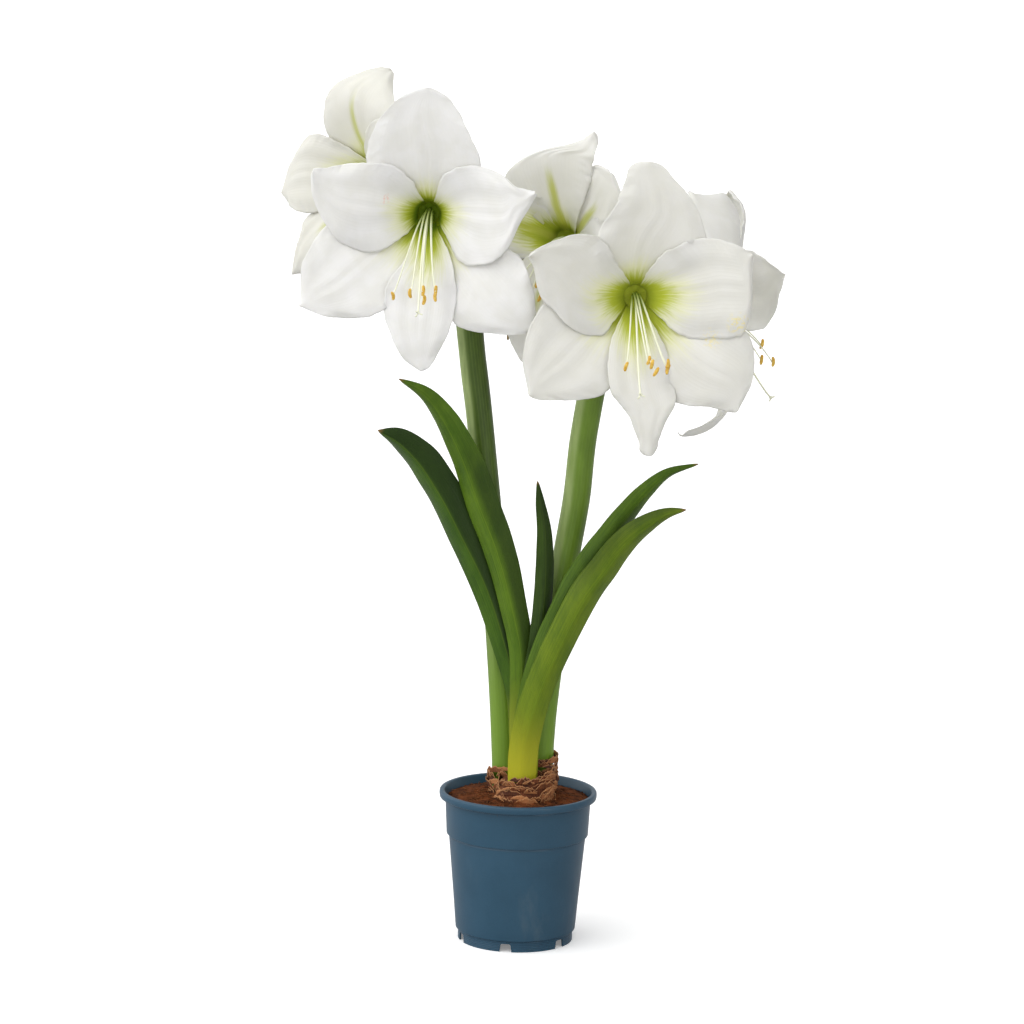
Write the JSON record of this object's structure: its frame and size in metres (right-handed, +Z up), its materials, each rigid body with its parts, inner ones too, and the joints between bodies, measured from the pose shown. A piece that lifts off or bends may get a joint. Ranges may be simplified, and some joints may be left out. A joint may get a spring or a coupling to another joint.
{
  "type": "amaryllis in a pot",
  "caption": "Flowering amaryllis bulb in a round plastic growing pot, with strap leaves and tall bare stems that carry large white open-faced blooms.",
  "frame": {"origin": "centre of the pot's foot, on the surface that the pot stands on", "axes": "+Z up through the pot, +X to the right and -Y towards the side that the blooms face"},
  "size_m": [0.3859, 0.271, 0.6559],
  "materials": {
    "pot_plastic": "semi-matte moulded polypropylene, grey-blue",
    "soil": "crumbly brown peat and coir",
    "bulb_skin": "papery brown bulb tunic",
    "stem_green": "smooth fleshy green with a waxy bloom",
    "leaf_green": "glossy strap leaf, finely veined along its length",
    "bract_tan": "withered papery bract",
    "petal_white": "soft white petal, green in the throat",
    "stamen_cream": "cream filaments with yellow anthers"
  },
  "bodies": {
    "root": {"pot": "pot_plastic", "soil": "soil", "bulb": "bulb_skin", "leaf_1": "leaf_green", "leaf_2": "leaf_green", "leaf_3": "leaf_green", "leaf_4": "leaf_green", "leaf_5": "leaf_green", "scape_left": "stem_green", "scape_right": "stem_green", "spathe_left": "bract_tan", "spathe_right": "bract_tan", "perianth_a": "petal_white", "stamens_a": "stamen_cream", "perianth_b": "petal_white", "stamens_b": "stamen_cream", "perianth_c": "petal_white", "stamens_c": "stamen_cream", "perianth_d": "petal_white", "stamens_d": "stamen_cream", "perianth_e": "petal_white", "stamens_e": "stamen_cream"}
  },
  "joints": []
}
